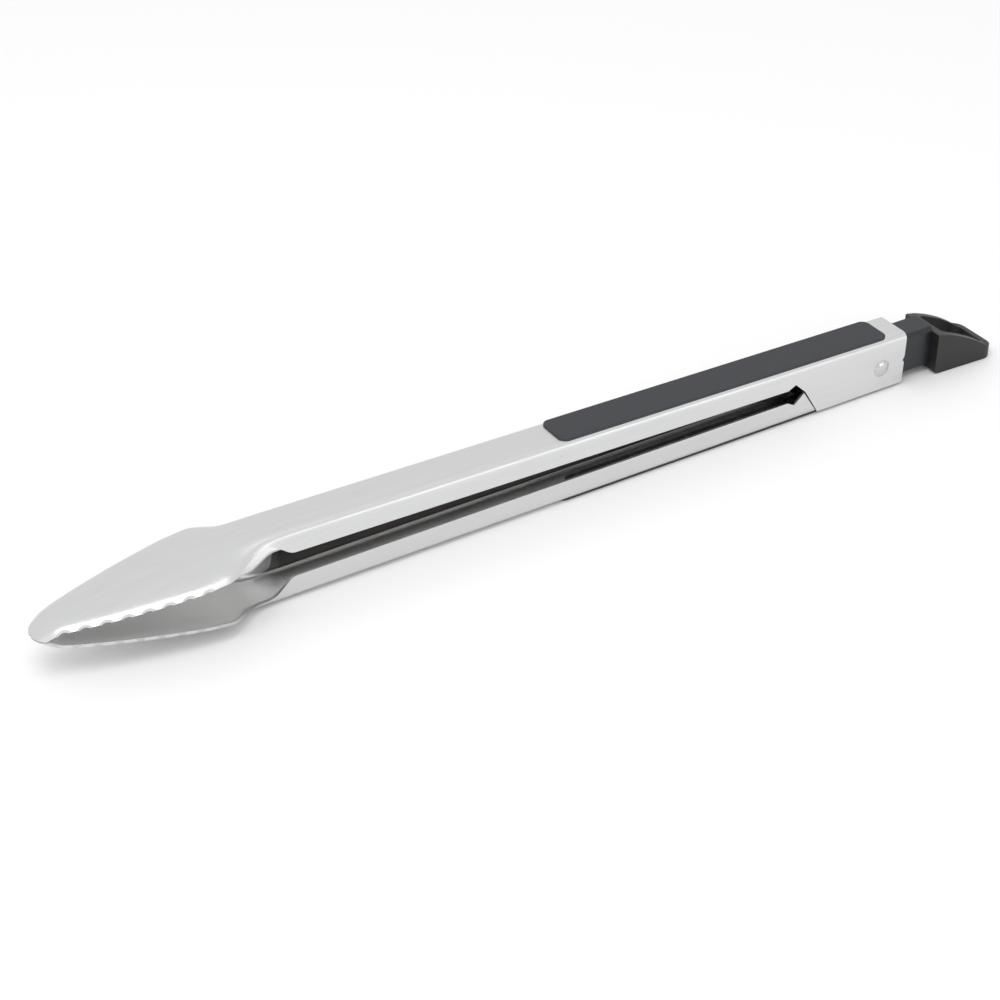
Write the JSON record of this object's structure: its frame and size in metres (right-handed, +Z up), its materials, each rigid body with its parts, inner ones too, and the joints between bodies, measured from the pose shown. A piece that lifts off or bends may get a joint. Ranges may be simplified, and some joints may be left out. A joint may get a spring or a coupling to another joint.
{
  "type": "locking kitchen tongs",
  "caption": "Long locking tongs: two folded steel channel arms with scalloped spade heads, soft grips, a riveted spring hinge, and a pull lock ending in a hang loop.",
  "frame": {"origin": "middle of the bounding box in plan, on the resting surface", "axes": "+X from the heads toward the hang loop, +Y across the tongs, +Z up out of the surface they lie on, arms closed and locked"},
  "size_m": [0.5145, 0.0462, 0.0359],
  "materials": {
    "stainless_lower": "brushed along the arm, satin on the head",
    "stainless_upper": "brushed along the arm, satin on the head",
    "soft_grip": "fine matt texture",
    "nylon_strip": "moulded",
    "spring_steel": "drawn wire and pressed strip",
    "rivet_steel": "smooth, polished dome",
    "acetal": "smooth natural",
    "nylon_slider": "moulded, slightly blue black",
    "loop_nylon": "moulded, fine texture"
  },
  "bodies": {
    "lower": {"lower_arm": "stainless_lower", "lower_grip": "soft_grip", "lower_grip_strip": "nylon_strip", "lower_stud_clips": "spring_steel"},
    "upper": {"upper_arm": "stainless_upper", "upper_grip": "soft_grip", "upper_grip_strip": "nylon_strip", "upper_stud_clips": "spring_steel"},
    "pivot": {"hinge_rivet": "rivet_steel", "hinge_bush": "acetal", "ear_washers": "acetal", "torsion_spring": "spring_steel"},
    "lock": {"lock_slider": "nylon_slider", "hang_loop": "loop_nylon", "loop_pin": "spring_steel"}
  },
  "joints": [
    {"name": "arm_hinge", "type": "hinge", "parent": "lower", "child": "upper", "pos_m": [0.18535, 0, 0.0136], "axis": [0, 1, 0], "range_deg": [0, 14], "deforming": ["torsion_spring"]},
    {"name": "bisector", "type": "hinge", "parent": "lower", "child": "pivot", "pos_m": [0.18535, 0, 0.0136], "axis": [0, 1, 0], "range_deg": [0, 7]},
    {"name": "lock_slide", "type": "slide", "parent": "pivot", "child": "lock", "axis": [1, 0, 0], "range_m": [-0.014, 0]}
  ],
  "couplings": [
    {"joint": "bisector", "follows": "arm_hinge", "ratio": 0.5}
  ]
}
